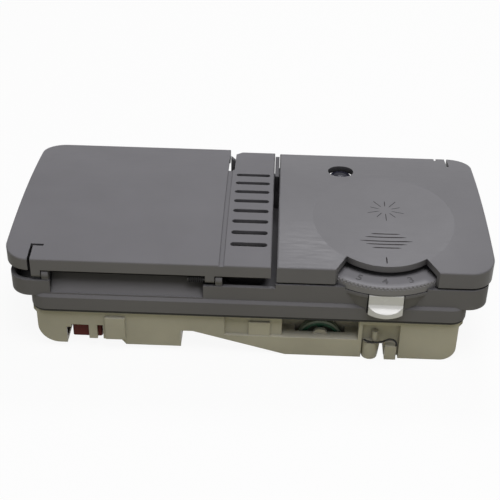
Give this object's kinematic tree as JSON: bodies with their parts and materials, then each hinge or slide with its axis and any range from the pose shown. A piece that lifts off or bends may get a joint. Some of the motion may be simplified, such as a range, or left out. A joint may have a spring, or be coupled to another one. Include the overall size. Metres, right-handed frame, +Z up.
{
  "type": "dishwasher detergent and rinse-aid dispenser",
  "caption": "Flat door-mounted dispenser with a sprung detergent lid, a rinse-aid cover with a knurled dose dial, and a rear housing for its release mechanism.",
  "frame": {"origin": "centre of the bounding box's footprint, on the face it rests on, lying on its back", "axes": "+X from the detergent lid to the rinse-aid cover, +Y from the dial edge to the back edge, +Z up out of the lids"},
  "size_m": [0.25, 0.1314, 0.0599],
  "materials": {
    "body_grey": "fine moulded texture",
    "lid_grey": "satin, fine moulded texture",
    "dial_grey": "satin",
    "rubber": "matt",
    "housing_white": "satin, slightly translucent",
    "tab_white": "glossy",
    "lens_clear": "clear",
    "lever_white": "satin",
    "actuator_red": "satin",
    "plunger_black": "satin",
    "terminal_brass": "bright",
    "cam_green": "satin",
    "steel": "drawn wire and turned pins"
  },
  "bodies": {
    "base": {"front_body": "body_grey", "cup_floor": "body_grey", "rear_housing": "housing_white", "door_gasket": "rubber", "sight_lens": "lens_clear", "actuator_body": "actuator_red", "terminals": "terminal_brass", "lever_pin": "steel", "cam_pin": "steel", "wire_spring": "steel", "screws": "steel", "tab_spring": "steel", "latch_spring": "steel", "valve_spring": "steel"},
    "lid": {"detergent_lid": "lid_grey", "lid_seal": "rubber", "lid_spring": "steel"},
    "cover": {"rinse_cover": "lid_grey", "filler_seal": "rubber"},
    "dial": {"dose_dial": "dial_grey"},
    "tab": {"release_tab": "tab_white"},
    "plunger": {"actuator_plunger": "plunger_black"},
    "lever": {"transfer_lever": "lever_white"},
    "latch": {"lid_latch": "housing_white"},
    "cam": {"cam_sector": "cam_green"},
    "valve": {"valve_stem": "lever_white", "valve_seal": "rubber"}
  },
  "joints": [
    {"name": "lid_hinge", "type": "hinge", "parent": "base", "child": "lid", "pos_m": [0, -0.0546, 0.0459], "axis": [1, 0, 0], "range_deg": [0, 100]},
    {"name": "cover_hinge", "type": "hinge", "parent": "base", "child": "cover", "pos_m": [0, 0.0592, 0.0435], "axis": [-1, 0, 0], "range_deg": [0, 90]},
    {"name": "dial_turn", "type": "hinge", "parent": "base", "child": "dial", "pos_m": [0.0701, -0.0205, 0.0467], "axis": [0, 0, 1], "range_deg": [-60, 40]},
    {"name": "tab_press", "type": "slide", "parent": "base", "child": "tab", "axis": [0, 1, 0], "range_m": [0, 0.0025], "stiffness_N_per_m": 200, "deforming": ["tab_spring"]},
    {"name": "plunger_stroke", "type": "slide", "parent": "base", "child": "plunger", "axis": [1, 0, 0], "range_m": [0, 0.004], "stiffness_N_per_m": 200, "deforming": ["latch_spring"]},
    {"name": "lever_swing", "type": "hinge", "parent": "base", "child": "lever", "pos_m": [-0.032, 0.0023, 0.0173], "axis": [0, 0, 1], "range_deg": [0, 4.6]},
    {"name": "latch_slide", "type": "slide", "parent": "base", "child": "latch", "axis": [-1, 0, 0], "range_m": [0, 0.0053]},
    {"name": "cam_swing", "type": "hinge", "parent": "base", "child": "cam", "pos_m": [0.0382, -0.0482, 0.0054], "axis": [0, 1, 0], "range_deg": [0, 20]},
    {"name": "valve_lift", "type": "slide", "parent": "base", "child": "valve", "axis": [0, 1, 0], "range_m": [0, 0.002], "stiffness_N_per_m": 150, "deforming": ["valve_spring"]}
  ],
  "couplings": [
    {"joint": "lever_swing", "follows": "plunger_stroke", "rad_per_m": 20},
    {"joint": "latch_slide", "follows": "plunger_stroke", "ratio": 1.3},
    {"joint": "cam_swing", "follows": "valve_lift", "rad_per_m": 174}
  ]
}
